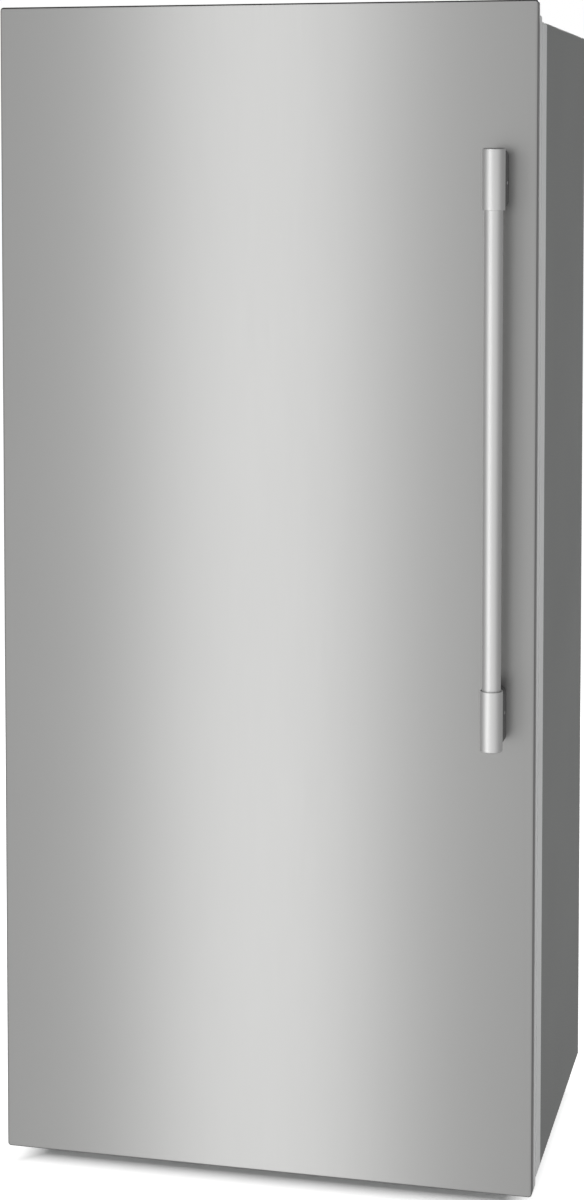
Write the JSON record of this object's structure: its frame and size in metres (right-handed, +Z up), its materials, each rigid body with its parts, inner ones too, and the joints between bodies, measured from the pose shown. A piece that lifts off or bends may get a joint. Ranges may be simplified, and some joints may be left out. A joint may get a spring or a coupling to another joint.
{
  "type": "upright freezer",
  "caption": "Tall upright freezer with one left-hinged stainless door, a tubular bar handle, glass shelves, drawers and door bins inside, on levelling legs and rear rollers.",
  "frame": {"origin": "on the floor, at the centre of the footprint from the handle's front to the rear sheets, door closed", "axes": "+Z up, the door faces -Y, +X is the handle side"},
  "size_m": [0.838, 0.6536, 1.829],
  "materials": {
    "stainless": "satin",
    "silver_paint": "satin",
    "dark_paint": "fine texture",
    "zinc": "zinc plated",
    "black_paint": "satin",
    "white_plastic": "satin",
    "grey_plastic": "satin",
    "clear_plastic": "clear",
    "rubber": "matte",
    "foam": "matte",
    "glass": "polished",
    "aluminium": "mill"
  },
  "bodies": {
    "cabinet": {"cabinet_wrapper": "dark_paint", "cabinet_front_frame": "silver_paint", "cabinet_insulation": "foam", "cabinet_liner": "white_plastic", "back_panel": "zinc", "bottom_panel": "zinc", "base_pan": "zinc", "front_crossmember": "zinc", "toe_grille": "grey_plastic", "machine_cover": "zinc", "cord_gland": "grey_plastic", "compressor": "black_paint", "condenser_coil": "black_paint", "drip_tray": "grey_plastic", "drain_tube": "grey_plastic", "evaporator_cover": "white_plastic", "evaporator_coil": "aluminium", "defrost_heater": "zinc", "drain_trough": "white_plastic", "control_housing": "white_plastic", "interior_lamp": "clear_plastic", "shelf_frame_1": "white_plastic", "shelf_frame_2": "white_plastic", "shelf_frame_3": "white_plastic", "shelf_glass_1": "glass", "shelf_glass_2": "glass", "shelf_glass_3": "glass", "top_hinge_bracket": "zinc", "top_hinge_cover": "grey_plastic", "bottom_hinge_bracket": "zinc", "evaporator_fan_motor": "zinc", "condenser_fan_motor": "zinc"},
    "door": {"door_skin": "stainless", "door_frame": "silver_paint", "door_insulation": "foam", "door_dike_foam": "foam", "door_liner": "white_plastic", "door_gasket": "rubber", "door_bin_1": "clear_plastic", "door_bin_2": "clear_plastic", "door_bin_3": "clear_plastic", "door_bin_4": "clear_plastic", "top_hinge_bush": "white_plastic", "bottom_hinge_bush": "white_plastic", "handle_bar": "stainless", "handle_sleeve_upper": "stainless", "handle_sleeve_lower": "stainless", "handle_standoff_upper": "black_paint", "handle_standoff_lower": "black_paint"},
    "upper_drawer": {"drawer_upper": "clear_plastic"},
    "lower_drawer": {"drawer_lower": "clear_plastic"},
    "plunger": {"lamp_switch_plunger": "white_plastic"},
    "button_1": {"control_button_1": "grey_plastic"},
    "button_2": {"control_button_2": "grey_plastic"},
    "inner_fan": {"evaporator_fan": "grey_plastic"},
    "rear_fan": {"condenser_fan": "grey_plastic"},
    "leg_left": {"levelling_leg_left": "zinc"},
    "leg_right": {"levelling_leg_right": "zinc"},
    "roller_left": {"rear_roller_left": "grey_plastic"},
    "roller_right": {"rear_roller_right": "grey_plastic"}
  },
  "joints": [
    {"name": "door_hinge", "type": "hinge", "parent": "cabinet", "child": "door", "pos_m": [-0.407, -0.2287, 0.9], "axis": [0, 0, -1], "range_deg": [0, 110]},
    {"name": "upper_drawer_slide", "type": "slide", "parent": "cabinet", "child": "upper_drawer", "axis": [0, -1, 0], "range_m": [0, 0.2]},
    {"name": "lower_drawer_slide", "type": "slide", "parent": "cabinet", "child": "lower_drawer", "axis": [0, -1, 0], "range_m": [0, 0.13]},
    {"name": "plunger_slide", "type": "slide", "parent": "cabinet", "child": "plunger", "axis": [0, -1, 0], "range_m": [0, 0.008]},
    {"name": "button_1_press", "type": "slide", "parent": "cabinet", "child": "button_1", "axis": [0, 1, 0], "range_m": [0, 0.0012], "stiffness_N_per_m": 500},
    {"name": "button_2_press", "type": "slide", "parent": "cabinet", "child": "button_2", "axis": [0, 1, 0], "range_m": [0, 0.0012], "stiffness_N_per_m": 500},
    {"name": "inner_fan_spin", "type": "hinge", "parent": "cabinet", "child": "inner_fan", "pos_m": [0, 0.2153, 0.6295], "axis": [0, 1, 0], "continuous": true},
    {"name": "rear_fan_spin", "type": "hinge", "parent": "cabinet", "child": "rear_fan", "pos_m": [-0.072, 0.2273, 0.1352], "axis": [1, 0, 0], "continuous": true},
    {"name": "leg_left_turn", "type": "hinge", "parent": "cabinet", "child": "leg_left", "pos_m": [-0.369, -0.1397, 0], "axis": [0, 0, 1], "continuous": true},
    {"name": "leg_right_turn", "type": "hinge", "parent": "cabinet", "child": "leg_right", "pos_m": [0.369, -0.1397, 0], "axis": [0, 0, 1], "continuous": true},
    {"name": "roller_left_spin", "type": "hinge", "parent": "cabinet", "child": "roller_left", "pos_m": [-0.357, 0.2823, 0.018], "axis": [1, 0, 0], "continuous": true},
    {"name": "roller_right_spin", "type": "hinge", "parent": "cabinet", "child": "roller_right", "pos_m": [0.357, 0.2823, 0.018], "axis": [1, 0, 0], "continuous": true}
  ],
  "couplings": [
    {"joint": "upper_drawer_slide", "follows": "door_hinge", "m_per_rad": 0.1},
    {"joint": "lower_drawer_slide", "follows": "door_hinge", "m_per_rad": 0.065},
    {"joint": "plunger_slide", "follows": "door_hinge", "m_per_rad": 0.004}
  ]
}
